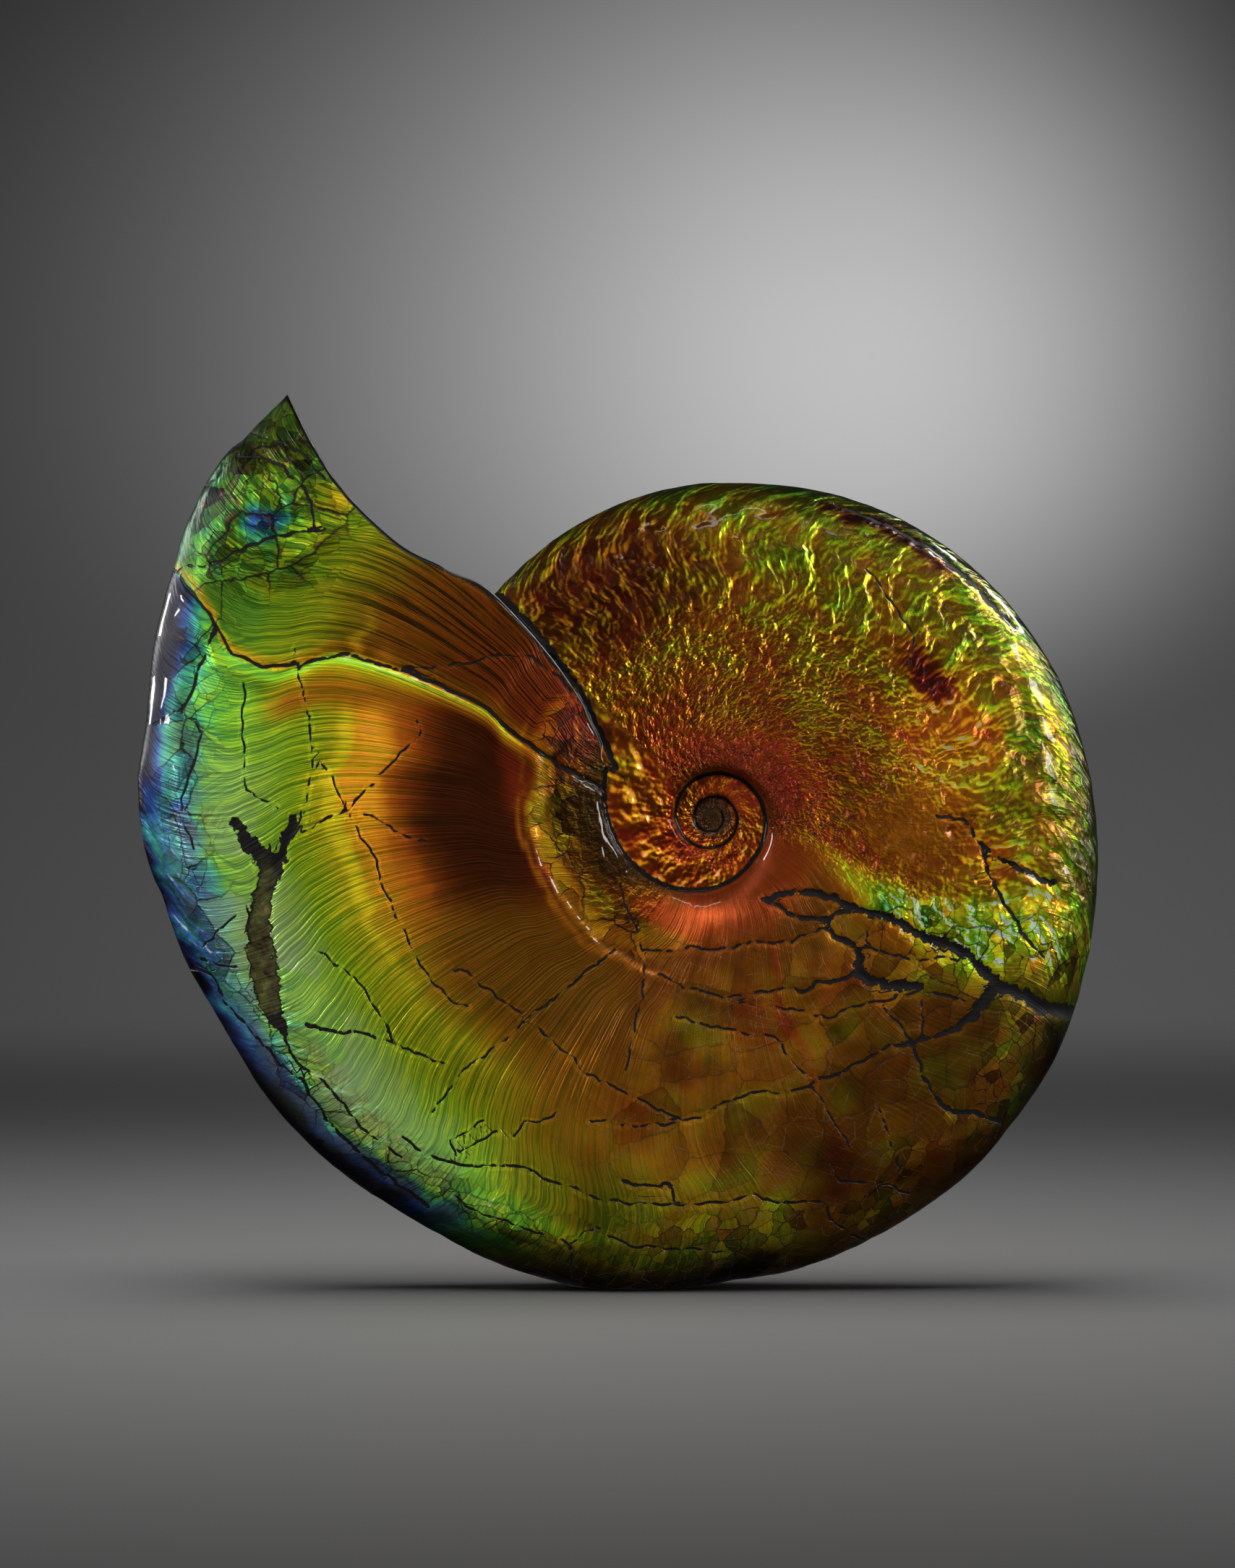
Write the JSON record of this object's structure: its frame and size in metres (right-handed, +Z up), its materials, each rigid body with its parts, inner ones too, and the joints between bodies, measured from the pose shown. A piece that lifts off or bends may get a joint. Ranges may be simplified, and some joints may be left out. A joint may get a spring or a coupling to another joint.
{
  "type": "iridescent ammonite fossil",
  "caption": "Large flattened spiral shell fossil with a pointed open mouth, a sunk spiral centre and rainbow mother-of-pearl, standing upright on a small ground flat.",
  "frame": {"origin": "centre of the bounding box's underside, on the surface that the fossil stands on", "axes": "+X across the coil with the mouth on the -X side, +Y from the better face towards the back, +Z up"},
  "size_m": [0.4987, 0.0945, 0.4633],
  "materials": {
    "iridescent_shell": "polished mother-of-pearl fossil shell, green to red iridescence with dark cracks, clear gloss"
  },
  "bodies": {
    "root": {"ammonite": "iridescent_shell"}
  },
  "joints": []
}
